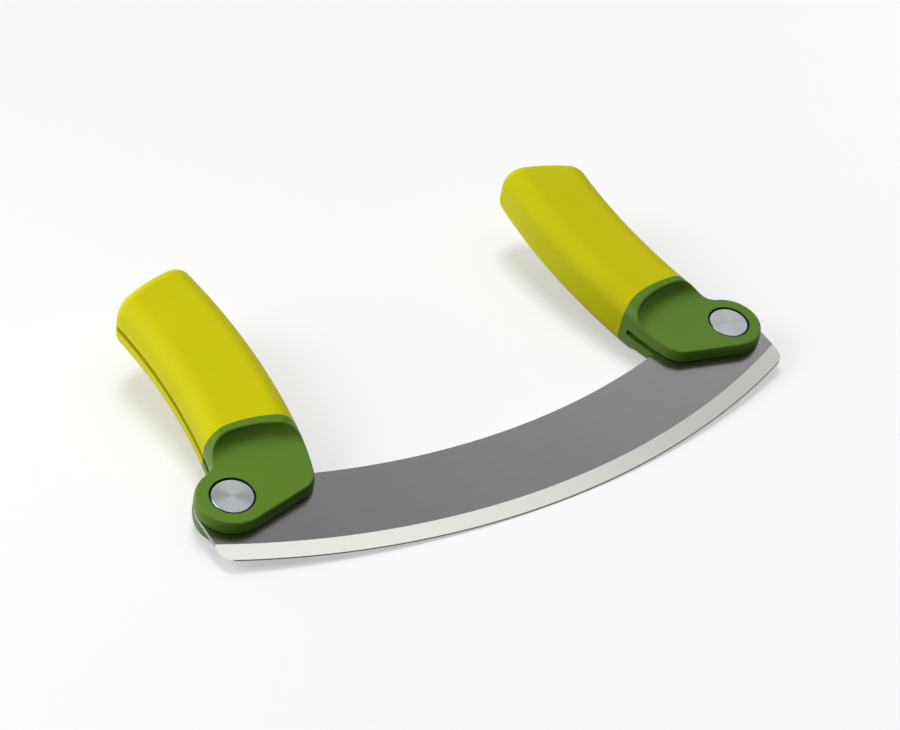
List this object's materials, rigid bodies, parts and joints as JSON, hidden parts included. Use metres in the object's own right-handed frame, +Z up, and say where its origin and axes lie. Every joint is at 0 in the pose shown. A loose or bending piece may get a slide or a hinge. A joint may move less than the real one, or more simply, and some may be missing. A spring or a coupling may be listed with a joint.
{
  "type": "mezzaluna",
  "caption": "Folding mezzaluna: a crescent chopping blade between two soft-grip handles that turn on rivets and fold outward to sheath the edge.",
  "frame": {"origin": "on the table the tool lies on, below the middle of the whole tool", "axes": "+X along the blade, +Y from the cutting edge towards the ends of the handles, +Z up from the table. The blade's plane leans 9.7 degrees about X, with the ends of the handles raised."},
  "size_m": [0.213, 0.132, 0.0318],
  "materials": {
    "blade_steel": "satin flat, bright ground bevel",
    "rivet_steel": "spun satin",
    "bolster_plastic": "fine moulded texture",
    "grip_rubber": "soft-touch matte",
    "bearing_plastic": "natural acetal",
    "spring_steel": "plain spring steel"
  },
  "bodies": {
    "blade_body": {"blade": "blade_steel", "left_pivot_bush": "bearing_plastic", "right_pivot_bush": "bearing_plastic"},
    "left_handle": {"left_handle_core": "bolster_plastic", "left_grip": "grip_rubber", "left_rivet_tube": "rivet_steel", "left_rivet_pin": "rivet_steel", "left_front_washer": "bearing_plastic", "left_back_washer": "bearing_plastic", "left_spring_washer": "spring_steel"},
    "right_handle": {"right_handle_core": "bolster_plastic", "right_grip": "grip_rubber", "right_rivet_tube": "rivet_steel", "right_rivet_pin": "rivet_steel", "right_front_washer": "bearing_plastic", "right_back_washer": "bearing_plastic", "right_spring_washer": "spring_steel"}
  },
  "joints": [
    {"name": "left_handle_fold", "type": "hinge", "parent": "blade_body", "child": "left_handle", "pos_m": [-0.095, -0.02668, 0.00698], "axis": [0, -0.1689, 0.9856], "range_deg": [0, 252]},
    {"name": "right_handle_fold", "type": "hinge", "parent": "blade_body", "child": "right_handle", "pos_m": [0.095, -0.02668, 0.00698], "axis": [0, 0.1689, -0.9856], "range_deg": [0, 252]}
  ]
}
